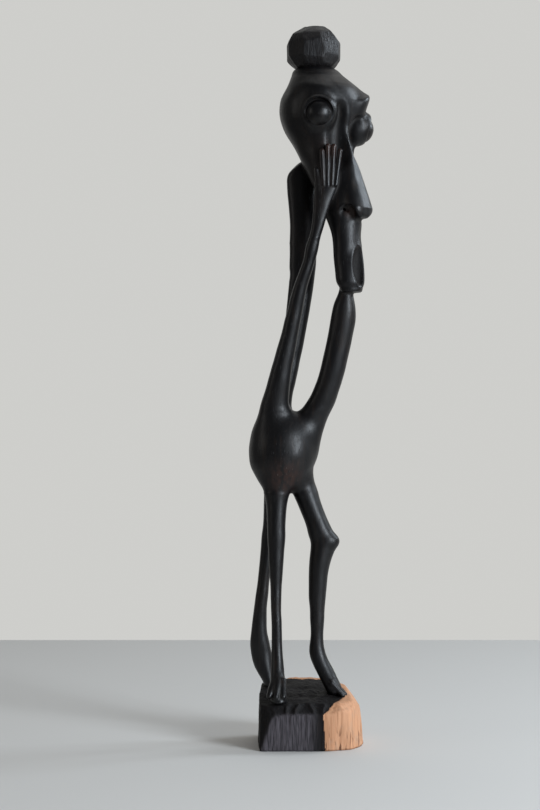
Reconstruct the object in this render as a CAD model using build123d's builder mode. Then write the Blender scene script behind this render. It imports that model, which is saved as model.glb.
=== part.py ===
"""A spirit figure carved from one billet of African blackwood, standing on a hewn block.

Millimetres, +Z up. The origin is the middle of the block's underside, the block's broad hewn
face looks along -Y, and the figure gazes GAZE_TURN degrees from -Y towards +X.
The real carving is one piece of wood, so every solid here is one carved feature of it, and the
solids meet face to face with nothing between them.
"""

from build123d import *
from collections import namedtuple
from math import cos, pi, radians, sin, tan
import os

os.makedirs("parts", exist_ok=True)

# Overall sizes, from the table upwards.
BLOCK_HEIGHT = 34.0  # at the back of the block, where it is highest
LEG_RISE = 113.0  # from the block's high edge to the crotch
BELLY_RISE = 47.0  # from the crotch to the fork of arms and trunk
TRUNK_RISE = 71.0  # from that fork to the underside of the jaw
JAW_RISE = 41.0  # from the underside of the jaw to the underside of the nose
SKULL_RISE = 87.0  # from the underside of the nose to the foot of the topknot
TOPKNOT_RISE = 27.0

# Block.
BLOCK_WIDTH = 62.0
BLOCK_DEPTH = 56.0
BLOCK_TOP_SLOPE = 8.5  # degrees, down towards the broad face
SHOULDER_SLOPE = 47.0  # degrees, the hewn shoulder on the pale side
SHOULDER_DROP = 10.0  # how far down the pale side that shoulder reaches
FLANK_SLOPE = 84.0  # degrees, the pale side below the shoulder
BEVEL_DROP = 13.5  # how far below the block's high edge its gouged front bevel ends
BEVEL_SLOPE = 45.0  # degrees

# Figure.
GAZE_TURN = 50.0
HEAD_X = 8.4
HEAD_Y = 0.0
LIMB_GIRTH = 1.0  # multiplies the thickness of every limb
ANKLE_RISE = 31.0  # above the block's high edge
EYE_RADIUS = 8.2
EYE_SPREAD = 35.0  # between the centres of the eyeballs
LID_THICKNESS = 2.6  # radius of the rounded ridge round an eyeball
MOUTH_LENGTH = 21.0
MOUTH_WIDTH = 7.0
MOUTH_DEPTH = 5.5
WRIST_RISE = 28.5  # above the underside of the jaw
PALM_RISE = 37.5
FINGER_RADIUS = 1.7
THUMB_LENGTH = 15.0
TOPKNOT_RADIUS = 16.2
TOPKNOT_FACETS = 11

# Levels that the sizes above fix.
crotch_z = BLOCK_HEIGHT + LEG_RISE
fork_z = crotch_z + BELLY_RISE
jaw_z = fork_z + TRUNK_RISE
nose_z = jaw_z + JAW_RISE
crown_z = nose_z + SKULL_RISE
top_z = crown_z + TOPKNOT_RISE
front_edge_z = BLOCK_HEIGHT - BLOCK_DEPTH * tan(radians(BLOCK_TOP_SLOPE))
ankle_z = BLOCK_HEIGHT + ANKLE_RISE
wrist_z = jaw_z + WRIST_RISE
palm_top_z = wrist_z + PALM_RISE

# One level section of a limb: how far up its rise, its centre, and its half sizes.
Section = namedtuple("Section", "share x y half_width half_depth")
# One level section of the head: its share, how far forward, and its half sizes.
Slice = namedtuple("Slice", "share front half_width half_depth")

turn = radians(GAZE_TURN)
to_left = Vector(cos(turn), sin(turn), 0)  # the figure's own left
to_front = Vector(sin(turn), -cos(turn), 0)  # where it gazes
OVAL_POINTS = 12


def gaze_point(left, front, z):
    """A point that is so far to the figure's left and so far forward of the head's axis."""
    return Vector(HEAD_X, HEAD_Y, z) + to_left * left + to_front * front


def level(low, high, share):
    """The height that is this share of the way from low to high."""
    return low + (high - low) * share


def oval(half_width, half_depth):
    """A closed smooth outline that always starts on its own +X side, so lofts never twist."""
    angles = [2 * pi * k / OVAL_POINTS for k in range(OVAL_POINTS)]
    return [(half_width * cos(a), half_depth * sin(a)) for a in angles]


def limb(sections, low, high):
    """Carves a limb: level ovals lofted upwards from low to high."""
    with BuildPart() as carved:
        for s in sections:
            with BuildSketch(Plane((s.x, s.y, level(low, high, s.share)))):
                with BuildLine():
                    around = oval(s.half_width * LIMB_GIRTH, s.half_depth * LIMB_GIRTH)
                    Spline(*around, periodic=True)
                make_face()
        loft()
    return carved.part


def head_mass(slices, low, high):
    """Carves a mass of the head: level ovals square to the gaze, lofted upwards."""
    with BuildPart() as carved:
        for s in slices:
            centre = gaze_point(0, s.front, level(low, high, s.share))
            with BuildSketch(Plane(centre, x_dir=to_left, z_dir=(0, 0, 1))):
                with BuildLine():
                    Spline(*oval(s.half_width, s.half_depth), periodic=True)
                make_face()
        loft()
    return carved.part


def keep(label, solid, *cutters):
    """Cuts the neighbours away from a solid, so that it meets them face to face, and writes it."""
    with BuildPart() as finished:
        add(solid)
        for cutter in cutters:
            add(cutter, mode=Mode.SUBTRACT)
    largest = finished.part.solids().sort_by(SortBy.VOLUME)[-1]
    largest.label = label
    export_step(largest, f"parts/{label}.step")
    return largest


# ---------------------------------------------------------------- block
half_w = BLOCK_WIDTH / 2
half_d = BLOCK_DEPTH / 2
with BuildPart() as block:
    with BuildSketch(Plane.XY):
        Polygon(
            (-0.95 * half_w, -half_d),
            (0.26 * half_w, -0.98 * half_d),
            (0.74 * half_w, -0.82 * half_d),
            (half_w, -0.14 * half_d),
            (0.96 * half_w, 0.42 * half_d),
            (0.5 * half_w, 0.92 * half_d),
            (-0.4 * half_w, half_d),
            (-0.97 * half_w, 0.72 * half_d),
            (-half_w, 0),
            align=None,
        )
    extrude(amount=2 * BLOCK_HEIGHT)
    top_tilt = Plane((0, half_d, BLOCK_HEIGHT)).rotated((BLOCK_TOP_SLOPE, 0, 0))
    split(bisect_by=top_tilt, keep=Keep.BOTTOM)
    shoulder = Plane((0.9 * half_w, 0, BLOCK_HEIGHT - SHOULDER_DROP)).rotated((0, SHOULDER_SLOPE, 0))
    split(bisect_by=shoulder, keep=Keep.BOTTOM)
    flank = Plane((half_w, 0, 0)).rotated((0, FLANK_SLOPE, 0))
    split(bisect_by=flank, keep=Keep.BOTTOM)
    bevel = Plane((0, -half_d, BLOCK_HEIGHT - BEVEL_DROP)).rotated((BEVEL_SLOPE, 0, 0))
    split(bisect_by=bevel, keep=Keep.BOTTOM)
    # One axe cut takes the dark front corner away, more of it higher up.
    corner = Plane((-0.95 * half_w, -half_d, 0), z_dir=(-1, -0.96, 0.36))
    split(bisect_by=corner, keep=Keep.BOTTOM)

# The heartwood ends along a growth ring, and the sapwood lies outside it on the right and back.
with BuildPart() as heart_column:
    with BuildSketch(Plane.XY):
        with BuildLine():
            ring = Spline(
                (0.36 * half_w, -1.5 * half_d),
                (0.26 * half_w, -half_d),
                (0.53 * half_w, -0.68 * half_d),
                (0.68 * half_w, -0.3 * half_d),
                (0.68 * half_w, 0.15 * half_d),
                (0.55 * half_w, 0.6 * half_d),
                (0.24 * half_w, 0.85 * half_d),
                (-0.4 * half_w, 0.9 * half_d),
                (-1.5 * half_w, 0.95 * half_d),
            )
            Polyline(ring @ 1, (-1.5 * half_w, -1.5 * half_d), ring @ 0)
        make_face()
    extrude(amount=2 * BLOCK_HEIGHT)

with BuildPart() as dark_wood:
    add(block.part)
    add(heart_column.part, mode=Mode.INTERSECT)
keep("base_heartwood", dark_wood.part)
keep("base_sapwood", block.part, heart_column.part)

# ---------------------------------------------------------------- belly
BELLY = [
    Section(0.0, -12.6, 2.0, 9.0, 9.0),
    Section(0.1, -12.4, 2.0, 15.6, 13.5),
    Section(0.24, -14.6, 2.0, 17.9, 16.0),
    Section(0.4, -16.5, 2.0, 19.5, 17.5),
    Section(0.56, -16.0, 2.0, 20.1, 18.0),
    Section(0.72, -13.9, 2.0, 20.0, 16.8),
    Section(0.86, -11.6, 2.0, 20.7, 14.6),
    Section(1.0, -9.2, 2.0, 21.1, 12.6),
]
belly = limb(BELLY, crotch_z, fork_z)
keep("belly", belly)

# ---------------------------------------------------------------- legs
# A leg starts at the block and runs on into the belly, which is then cut away from it.
RIGHT_LEG = [
    Section(-0.05, -18.6, -18.8, 5.2, 6.2),
    Section(0.02, -18.7, -18.0, 5.1, 6.6),
    Section(0.08, -19.1, -16.0, 4.7, 6.0),
    Section(0.15, -19.5, -12.2, 4.0, 4.5),
    Section(0.22, -19.6, -9.5, 3.4, 3.6),
    Section(0.34, -19.8, -8.0, 2.9, 3.2),
    Section(0.5, -20.2, -6.8, 3.3, 3.7),
    Section(0.68, -20.1, -6.0, 4.4, 4.7),
    Section(0.84, -20.0, -5.4, 5.5, 5.6),
    Section(0.94, -19.9, -4.0, 6.2, 6.6),
    Section(1.0, -19.9, -3.0, 8.0, 7.6),
    Section(1.1, -18.6, 0.0, 9.5, 9.0),
]
KNEE_SHARE = 0.76  # where the left knee juts forward to an edge
LEFT_SHIN = [
    Section(-0.05, 0.58 * half_w, -5.0, 4.2, 5.4),
    Section(0.02, 0.52 * half_w, -4.2, 4.9, 5.6),
    Section(0.08, 12.0, -3.0, 5.3, 5.2),
    Section(0.14, 8.2, -1.4, 5.3, 4.8),
    Section(0.21, 4.3, 0.0, 5.0, 4.3),
    Section(0.29, 3.7, 0.5, 3.8, 3.8),
    Section(0.4, 3.9, 0.5, 4.3, 4.3),
    Section(0.52, 4.1, 0.5, 5.2, 5.0),
    Section(0.64, 5.2, 0.5, 6.1, 5.8),
    Section(0.7, 6.6, 0.5, 7.0, 6.2),
    Section(KNEE_SHARE, 8.5, 0.5, 8.2, 6.4),
]
LEFT_THIGH = [
    Section(KNEE_SHARE, 8.5, 0.5, 8.2, 6.4),
    Section(0.8, 6.2, 0.8, 7.7, 6.6),
    Section(0.87, 2.8, 1.3, 7.0, 6.8),
    Section(0.94, -0.6, 2.0, 7.1, 7.2),
    Section(1.0, -3.2, 3.0, 7.7, 7.8),
    Section(1.1, -5.5, 3.5, 9.0, 9.0),
]
REAR_LEG = [
    Section(-0.05, -20.6, 10.6, 3.0, 4.0),
    Section(0.02, -22.2, 11.2, 3.4, 4.3),
    Section(0.08, -24.9, 12.0, 4.2, 4.6),
    Section(0.15, -27.8, 12.5, 5.7, 4.8),
    Section(0.22, -29.5, 12.5, 6.0, 4.8),
    Section(0.3, -30.2, 12.0, 5.0, 4.5),
    Section(0.4, -29.7, 11.5, 4.0, 4.2),
    Section(0.52, -28.1, 11.0, 3.6, 4.0),
    Section(0.66, -26.4, 10.5, 3.6, 4.0),
    Section(0.8, -24.4, 10.0, 4.0, 4.4),
    Section(0.92, -22.4, 9.0, 5.0, 5.2),
    Section(1.1, -18.0, 6.5, 7.0, 7.0),
]
with BuildPart() as below_ankles:
    with Locations((0, 0, ankle_z / 2)):
        Box(4 * BLOCK_WIDTH, 4 * BLOCK_DEPTH, ankle_z)
with BuildPart() as left_whole:
    add(limb(LEFT_SHIN, front_edge_z, crotch_z))
    add(limb(LEFT_THIGH, front_edge_z, crotch_z))
whole_legs = {
    "right": limb(RIGHT_LEG, front_edge_z, crotch_z),
    "left": left_whole.part,
    "rear": limb(REAR_LEG, front_edge_z, crotch_z),
}
earlier = []
for side, whole in whole_legs.items():
    with BuildPart() as foot_end:
        add(whole)
        add(below_ankles.part, mode=Mode.INTERSECT)
    keep(f"{side}_foot", foot_end.part, block.part)
    earlier.append(keep(f"{side}_leg", whole, below_ankles.part, belly, *earlier))

# ---------------------------------------------------------------- trunk
TRUNK = [
    Section(0.0, 2.8, 0.5, 9.3, 8.4),
    Section(0.08, 6.3, -0.6, 8.5, 7.6),
    Section(0.2, 9.8, -2.6, 7.6, 7.2),
    Section(0.34, 12.8, -4.2, 7.3, 7.0),
    Section(0.5, 15.4, -5.8, 7.3, 6.9),
    Section(0.65, 17.6, -7.2, 7.3, 6.8),
    Section(0.8, 19.1, -8.6, 7.1, 6.7),
    Section(0.88, 19.5, -9.2, 6.2, 6.0),
    Section(0.94, 20.0, -9.7, 4.8, 4.8),
    Section(1.0, 20.4, -10.0, 3.8, 4.0),
]
trunk = keep("trunk", limb(TRUNK, fork_z, jaw_z))

# ---------------------------------------------------------------- head
JAW = [
    Slice(0.0, 19.6, 6.4, 5.4),
    Slice(0.06, 19.3, 8.6, 7.6),
    Slice(0.2, 18.6, 9.0, 8.2),
    Slice(0.4, 17.6, 9.0, 8.0),
    Slice(0.6, 16.8, 9.2, 8.0),
    Slice(0.8, 15.8, 9.5, 8.5),
    Slice(1.0, 14.1, 10.0, 9.8),
]
SKULL = [
    Slice(0.0, 14.1, 10.0, 9.8),
    Slice(0.1, 12.0, 11.2, 11.2),
    Slice(0.2, 9.3, 12.3, 12.4),
    Slice(0.3, 6.3, 13.4, 13.6),
    Slice(0.4, 2.8, 15.0, 15.0),
    Slice(0.5, -1.0, 17.4, 17.2),
    Slice(0.6, -3.2, 20.5, 20.0),
    Slice(0.7, -3.4, 23.2, 22.6),
    Slice(0.8, -2.7, 23.4, 23.0),
    Slice(0.88, -2.6, 21.2, 20.8),
    Slice(0.94, -4.0, 17.6, 17.0),
    Slice(1.0, -6.8, 12.8, 12.2),
]
jaw = head_mass(JAW, jaw_z, nose_z)
skull = head_mass(SKULL, nose_z, crown_z)

# Eyeballs stand half out of the skull; the left one sits a little lower and further forward.
right_eye_at = gaze_point(-0.46 * EYE_SPREAD, 8.5, level(nose_z, crown_z, 0.69))
left_eye_at = gaze_point(0.54 * EYE_SPREAD, 11.3, level(nose_z, crown_z, 0.625))
LID_LIFT = 2.8  # a lid ridge is centred this much above its eyeball


def lid_ring(eye_at, left, front):
    """A rounded ridge round an eyeball, facing outwards from the head."""
    with BuildPart() as ring_part:
        facing = Plane(eye_at + Vector(0, 0, LID_LIFT), z_dir=to_left * left + to_front * front)
        with Locations(facing):
            Torus(EYE_RADIUS + 1.15 * LID_THICKNESS, LID_THICKNESS)
    return ring_part.part


with BuildPart() as right_ball:
    with Locations(right_eye_at):
        Sphere(EYE_RADIUS)
with BuildPart() as left_ball:
    with Locations(left_eye_at):
        Sphere(EYE_RADIUS)
with BuildPart() as lidded_skull:
    add(skull)
    add(lid_ring(right_eye_at, -0.8, 0.6))
    add(lid_ring(left_eye_at, 0.8, 0.6))
head = keep("head", lidded_skull.part, right_ball.part, left_ball.part)
keep("right_eye", right_ball.part)
keep("left_eye", left_ball.part)

# The nose is a long wedge: three-cornered level sections that grow downwards.
NoseSlice = namedtuple("NoseSlice", "share ridge half_width")
NOSE = [
    NoseSlice(0.0, 33.6, 8.6),
    NoseSlice(0.06, 34.4, 8.8),
    NoseSlice(0.14, 31.6, 7.6),
    NoseSlice(0.25, 27.6, 6.0),
    NoseSlice(0.37, 23.8, 4.8),
    NoseSlice(0.5, 20.8, 3.8),
    NoseSlice(0.66, 19.2, 3.0),
]
NOSE_ROOT = 8.0  # how deep in the head its root lies
NOSE_SIDE = 0.72  # how far along the ridge's reach the sides stay apart
NOSE_BLUNT = 0.3  # width of the rounded-off ridge, as a share of the whole width
with BuildPart() as nose_wedge:
    for s in NOSE:
        centre = gaze_point(0, 0, level(nose_z, crown_z, s.share))
        with BuildSketch(Plane(centre, x_dir=to_left, z_dir=(0, 0, 1))):
            Polygon(
                (-s.half_width, -NOSE_ROOT),
                (-s.half_width, -NOSE_SIDE * s.ridge),
                (-NOSE_BLUNT * s.half_width, -s.ridge),
                (NOSE_BLUNT * s.half_width, -s.ridge),
                (s.half_width, -NOSE_SIDE * s.ridge),
                (s.half_width, -NOSE_ROOT),
                align=None,
            )
    loft()
nose = keep("nose", nose_wedge.part, head, jaw)

with BuildPart() as open_jaw:
    add(jaw)
    mouth_middle = gaze_point(0, 26.0 - MOUTH_DEPTH, jaw_z + 0.6 * MOUTH_LENGTH)
    with BuildSketch(Plane(mouth_middle, x_dir=to_left, z_dir=to_front)):
        SlotOverall(MOUTH_LENGTH, MOUTH_WIDTH, rotation=90)
    extrude(amount=3 * MOUTH_DEPTH, mode=Mode.SUBTRACT)
jaw_solid = keep("jaw", open_jaw.part)

# ---------------------------------------------------------------- arms and hands
RIGHT_ARM = [
    Section(0.0, -21.1, -2.5, 9.0, 8.0),
    Section(0.07, -20.5, -4.0, 7.8, 7.0),
    Section(0.16, -18.7, -6.2, 6.7, 6.2),
    Section(0.3, -15.9, -8.2, 5.8, 5.5),
    Section(0.45, -12.3, -9.9, 5.0, 5.0),
    Section(0.6, -9.1, -12.0, 4.5, 4.6),
    Section(0.75, -5.2, -14.4, 4.0, 4.2),
    Section(0.9, -0.6, -16.8, 3.7, 3.7),
    Section(1.0, 1.9, -18.0, 3.3, 3.3),
]
RIGHT_PALM = [
    Section(0.0, 1.9, -18.0, 3.3, 3.3),
    Section(0.2, 3.8, -18.8, 3.7, 3.0),
    Section(0.4, 5.4, -19.2, 4.4, 2.8),
    Section(0.6, 7.0, -19.4, 5.5, 2.6),
    Section(0.8, 8.6, -19.4, 6.7, 2.4),
    Section(1.0, 9.6, -19.4, 6.3, 1.8),
]
LEFT_ARM = [
    Section(0.0, -15.8, 9.8, 4.5, 4.4),
    Section(0.16, -13.6, 9.6, 4.6, 4.4),
    Section(0.34, -10.6, 9.4, 5.4, 4.5),
    Section(0.5, -8.5, 9.2, 6.5, 4.6),
    Section(0.66, -6.4, 9.0, 7.2, 4.6),
    Section(0.82, -4.7, 9.0, 7.6, 4.7),
    Section(1.0, -4.3, 9.0, 7.9, 4.8),
]
LEFT_PALM = [
    Section(0.0, -4.3, 9.0, 7.9, 4.8),
    Section(0.3, -3.9, 9.0, 8.0, 4.9),
    Section(0.65, -4.7, 9.0, 8.4, 5.0),
    Section(0.9, -5.5, 9.2, 8.3, 4.9),
    Section(1.06, -5.9, 9.4, 7.7, 4.5),
    Section(1.25, -5.2, 9.6, 5.4, 3.4),
]


def finger(start, tip):
    """One round finger with a rounded tip."""
    with BuildPart() as rod:
        with BuildSketch(Plane(start, z_dir=tip - start)):
            Circle(FINGER_RADIUS)
        extrude(amount=(tip - start).length)
        with Locations(tip):
            Sphere(FINGER_RADIUS)
    return rod.part


# The right hand lies on the cheek, fingers up and a little spread, thumb towards the ear.
KNUCKLES_X = (6.6, 9.0, 11.4, 13.8)
TIPS_X = (6.2, 9.7, 13.1, 16.6)
TIPS_RISE = (14.0, 17.0, 17.0, 14.5)  # above the top of the palm
knuckle_z = palm_top_z - 3 * FINGER_RADIUS
with BuildPart() as right_hand_raw:
    add(limb(RIGHT_PALM, wrist_z, palm_top_z))
    for knuckle_x, tip_x, rise in zip(KNUCKLES_X, TIPS_X, TIPS_RISE):
        knuckle = Vector(knuckle_x, -19.4, knuckle_z)
        add(finger(knuckle, Vector(tip_x, -18.9, palm_top_z + rise - FINGER_RADIUS)))
    thumb_root = Vector(3.9, -18.6, palm_top_z - THUMB_LENGTH)
    add(finger(thumb_root, Vector(3.1, -17.6, palm_top_z + FINGER_RADIUS)))
keep("right_hand", right_hand_raw.part, skull, jaw, nose)
right_arm = keep("right_arm", limb(RIGHT_ARM, fork_z, wrist_z), trunk)

# The left hand clasps the nape, its fingers wrapping round the far side of the head.
LEFT_FINGERS = 4
with BuildPart() as left_hand_raw:
    add(limb(LEFT_PALM, wrist_z, palm_top_z))
    for row in range(LEFT_FINGERS):
        start = Vector(-3.0, 11.6, palm_top_z - 2.1 * FINGER_RADIUS * row)
        add(finger(start, start + Vector(17.0 - 1.2 * row, 1.2, 3.4)))
keep("left_hand", left_hand_raw.part, skull, jaw)
keep("left_arm", limb(LEFT_ARM, fork_z, wrist_z), right_arm, trunk)

# ---------------------------------------------------------------- topknot
# A bun pared with the knife: ruled bands between many-sided rings leave upright flats.
TOPKNOT = [
    (0.0, 0.74),
    (0.1, 0.87),
    (0.25, 0.97),
    (0.42, 1.0),
    (0.58, 0.96),
    (0.75, 0.8),
    (0.9, 0.55),
    (1.0, 0.3),
]
with BuildPart() as bun:
    for share, girth in TOPKNOT:
        centre = gaze_point(0, -7.5 - 2.0 * share, level(crown_z, top_z, share))
        with BuildSketch(Plane(centre)):
            RegularPolygon(TOPKNOT_RADIUS * girth, TOPKNOT_FACETS, rotation=8)
    loft(ruled=True)
keep("topknot", bun.part)
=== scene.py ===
# %% [markdown]
# # A blackwood spirit figure
# The real figure is cut from one billet: a slender body polished until it gleams, standing on a
# block that was left as the axe shaped it. This lesson builds its looks around a frame that holds
# every carved feature as a plain solid. First the frame is loaded and measured.

import bmesh
import bpy
import numpy as np
import openvdb
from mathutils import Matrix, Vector


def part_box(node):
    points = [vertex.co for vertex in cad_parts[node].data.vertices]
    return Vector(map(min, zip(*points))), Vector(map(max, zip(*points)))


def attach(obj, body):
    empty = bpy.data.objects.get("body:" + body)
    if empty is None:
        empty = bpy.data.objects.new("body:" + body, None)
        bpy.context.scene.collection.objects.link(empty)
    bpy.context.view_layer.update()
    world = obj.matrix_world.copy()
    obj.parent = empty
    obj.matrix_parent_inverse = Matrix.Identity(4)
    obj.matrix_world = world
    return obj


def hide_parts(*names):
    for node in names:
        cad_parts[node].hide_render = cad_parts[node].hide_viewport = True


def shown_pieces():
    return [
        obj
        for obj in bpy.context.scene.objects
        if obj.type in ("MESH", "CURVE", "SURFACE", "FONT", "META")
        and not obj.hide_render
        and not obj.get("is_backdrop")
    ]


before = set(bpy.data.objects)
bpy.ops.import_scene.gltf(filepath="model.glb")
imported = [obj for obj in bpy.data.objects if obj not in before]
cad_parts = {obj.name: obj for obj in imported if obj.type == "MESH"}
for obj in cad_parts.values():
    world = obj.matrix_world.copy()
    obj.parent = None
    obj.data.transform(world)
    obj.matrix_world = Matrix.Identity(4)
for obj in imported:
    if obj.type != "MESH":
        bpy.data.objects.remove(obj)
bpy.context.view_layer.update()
MM = 0.001
print("features in the frame:", ", ".join(sorted(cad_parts)))

# %% [markdown]
# ## The camera
# The figure is seen from straight in front of its block, level with the belly, from about a metre
# away. A long lens from there keeps the verticals straight. The long side of the picture is the
# height, so the sensor is fitted to it.

# %% Camera
BODY_MIDDLE_Z = 0.1977  # the camera's height above the table, in metres
CAMERA_X = -0.02375
CAMERA_DISTANCE = 1.0
LENS_MM = 75.78
SENSOR_MM = 36.0

camera_data = bpy.data.cameras.new("camera")
camera_data.sensor_fit = "VERTICAL"
camera_data.sensor_height = SENSOR_MM
camera_data.lens = LENS_MM
camera = bpy.data.objects.new("camera", camera_data)
bpy.context.scene.collection.objects.link(camera)
camera.location = (CAMERA_X, -CAMERA_DISTANCE, BODY_MIDDLE_Z)
camera.rotation_euler = (np.pi / 2, 0.0, 0.0)
bpy.context.scene.camera = camera
print("camera", tuple(round(v, 3) for v in camera.location))

# %% [markdown]
# ## Floor and light
# Black wood shows its shape by what it mirrors, so the light matters as much as the carving. One
# large soft window stands to the right and in front, and four weaker ones stand round the figure.
# The room is dim, and brightens towards one pale wall behind it, which the rounded edges of the
# limbs mirror. The floor is a plain pale sheet.

# %% Floor, lamps and room
FLOOR_HALF = 0.434
WALL_COLOUR, ROOM_COLOUR = (0.62, 0.62, 0.60), (0.09, 0.09, 0.092)
WALL_WAY = (0.25, 0.95, 0.15)  # the way towards the pale wall
WALL_STARTS, WALL_FULL = 0.0, 0.85  # how far that way the room starts to brighten, and is bright
FLOOR_COLOUR = (0.60, 0.59, 0.57)
CHEST, CHIN = (0.0, 0.0, 0.22), (0.0, 0.0, 0.28)
WINDOWS = [
    # name, where it stands, what it looks at, width, height, watts, colour
    ("key_window", (0.9, -0.78, 0.45), CHEST, 0.42, 0.62, 18.0, (0.84, 0.92, 1.0)),
    ("far_window", (1.0, 0.36, 0.85), CHEST, 0.35, 0.5, 6.5, (0.80, 0.90, 1.0)),
    ("side_window", (-1.15, -0.35, 0.5), CHEST, 0.3, 0.8, 1.4, (1.0, 0.97, 0.93)),
    ("low_window", (0.5, -1.15, 0.16), CHIN, 0.4, 0.4, 1.8, (0.88, 0.93, 1.0)),
    ("top_window", (0.1, 0.3, 1.3), CHEST, 0.9, 0.9, 2.2, (1.0, 1.0, 1.0)),
]


def add_floor():
    """One flat square just under the block."""
    mesh = bpy.data.meshes.new("floor")
    corners = [(-1, -1, 0), (1, -1, 0), (1, 1, 0), (-1, 1, 0)]
    mesh.from_pydata([(x * FLOOR_HALF, y * FLOOR_HALF, z) for x, y, z in corners], [], [(0, 1, 2, 3)])
    floor = bpy.data.objects.new("floor", mesh)
    bpy.context.scene.collection.objects.link(floor)
    floor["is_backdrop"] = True
    return floor


def add_window(name, place, aim, width, height, watts, colour):
    """A rectangular lamp that looks at a point."""
    lamp = bpy.data.lights.new(name, "AREA")
    lamp.shape = "RECTANGLE"
    lamp.size = width
    lamp.size_y = height
    lamp.energy = watts
    lamp.color = colour
    window = bpy.data.objects.new(name, lamp)
    window.location = place
    window.rotation_euler = (Vector(aim) - Vector(place)).to_track_quat("-Z", "Y").to_euler()
    window.visible_camera = False
    bpy.context.scene.collection.objects.link(window)
    return window


floor = add_floor()
for window in WINDOWS:
    add_window(*window)
print("lit by", ", ".join(window[0] for window in WINDOWS))

world = bpy.data.worlds.new("room")
bpy.context.scene.world = world
world.use_nodes = True
room = world.node_tree
direction = room.nodes.new("ShaderNodeTexCoord")
towards = room.nodes.new("ShaderNodeVectorMath")
towards.operation = "DOT_PRODUCT"
towards.inputs[1].default_value = WALL_WAY
turning = room.nodes.new("ShaderNodeMapRange")
turning.interpolation_type = "SMOOTHSTEP"
turning.inputs["From Min"].default_value = WALL_STARTS
turning.inputs["From Max"].default_value = WALL_FULL
blend = room.nodes.new("ShaderNodeMix")
blend.data_type = "RGBA"
FIRST_COLOUR, SECOND_COLOUR, MIXED_COLOUR = 6, 7, 2  # a Mix node's colour sockets, in and out
blend.inputs[FIRST_COLOUR].default_value = (*ROOM_COLOUR, 1)
blend.inputs[SECOND_COLOUR].default_value = (*WALL_COLOUR, 1)
room.links.new(direction.outputs["Generated"], towards.inputs[0])
room.links.new(towards.outputs["Value"], turning.inputs["Value"])
room.links.new(turning.outputs[0], blend.inputs[0])
room.links.new(blend.outputs[MIXED_COLOUR], room.nodes["Background"].inputs["Color"])
bpy.context.scene.view_settings.view_transform = "Standard"

# %% [markdown]
# ## Measuring the roughed-out features
# Each limb in the frame is a stack of level ovals. Cutting its solid with level planes and noting
# the extreme points of every cut gives the centre and the half sizes of each oval again. With
# these a limb becomes a formula, which can be blended with its neighbours, as a mesh can't be.

# %% Level ovals of a node
LEVEL_STEP = 1.0  # millimetres between the level cuts
SOFTEN_LEVELS = 5  # a moving average over this many cuts takes the edge off each crease
SLOPE_LEVELS, ROOT_FADE = 8, 20.0  # a limb's lean is read over so many cuts, and fades out over this
TINY, TINY_SQUARE = 1e-6, 1e-9  # added to a length, or to its square, that something is divided by
HEAD_TURN = np.radians(50.0)  # the gaze, from -Y towards +X
TO_LEFT = np.array([np.cos(HEAD_TURN), np.sin(HEAD_TURN)])
TO_FRONT = np.array([np.sin(HEAD_TURN), -np.cos(HEAD_TURN)])
STRAIGHT = (np.array([1.0, 0.0]), np.array([0.0, 1.0]))
TURNED = (TO_LEFT, TO_FRONT)


def node_edges(name):
    """Both ends of every edge of a node, in millimetres."""
    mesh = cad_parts[name].data
    corners = np.empty(len(mesh.vertices) * 3, np.float32)
    mesh.vertices.foreach_get("co", corners)
    edges = np.empty(len(mesh.edges) * 2, np.int32)
    mesh.edges.foreach_get("vertices", edges)
    places = corners.reshape(-1, 3).astype(float) / MM
    return places[edges[::2]], places[edges[1::2]]


def level_ovals(names, low, high, axes=STRAIGHT):
    """For each level: half the sum and half the difference of the extreme places where the edges
    cross it, along two level axes. Returns heights, two centres and two half sizes."""
    ends = [node_edges(name) for name in names]
    starts, stops = (np.concatenate(side) for side in zip(*ends))
    heights, rows = np.arange(low, high + LEVEL_STEP / 2, LEVEL_STEP), []
    for height in heights:
        crosses = (starts[:, 2] - height) * (stops[:, 2] - height) < 0
        a, b = starts[crosses], stops[crosses]
        share = ((height - a[:, 2]) / (b[:, 2] - a[:, 2]))[:, None]
        flat = (a + (b - a) * share)[:, :2]
        rows.append([edge(flat @ axis) for axis in axes for edge in (np.min, np.max)])
    padding = SOFTEN_LEVELS // 2
    rows = np.pad(np.array(rows), ((padding, padding), (0, 0)), mode="reflect", reflect_type="odd")
    average = np.ones(SOFTEN_LEVELS) / SOFTEN_LEVELS
    u0, u1, v0, v1 = (np.convolve(column, average, "valid") for column in rows.T)
    return heights, (u0 + u1) / 2, (v0 + v1) / 2, (u1 - u0) / 2, (v1 - v0) / 2


def carry_on(heights, values, z, reach=6.0):
    """The value at z, going on in a straight line past both ends."""
    slope_low = (np.interp(heights[0] + reach, heights, values) - values[0]) / reach
    slope_high = (values[-1] - np.interp(heights[-1] - reach, heights, values)) / reach
    below, above = np.minimum(z - heights[0], 0), np.maximum(z - heights[-1], 0)
    return np.interp(z, heights, values) + below * slope_low + above * slope_high


def oval_limb(ovals, axes=STRAIGHT, thinnest=1.5):
    """The signed distance to a stack of level ovals, as a function of x, y and z.
    With u and v the offsets over the half sizes and g the root of the sum of their squares, the
    distance is g (g - 1) over the length of (u / half width, v / half depth)."""
    heights, cu, cv, hu, hv = ovals

    def distance(x, y, z):
        half_u = np.maximum(carry_on(heights, hu, z), thinnest)
        half_v = np.maximum(carry_on(heights, hv, z), thinnest)
        u = (x * axes[0][0] + y * axes[0][1] - carry_on(heights, cu, z)) / half_u
        v = (x * axes[1][0] + y * axes[1][1] - carry_on(heights, cv, z)) / half_v
        g = np.sqrt(u * u + v * v) + TINY
        return g * (g - 1) / np.sqrt((u / half_u) ** 2 + (v / half_v) ** 2 + TINY_SQUARE)

    return distance


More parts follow.
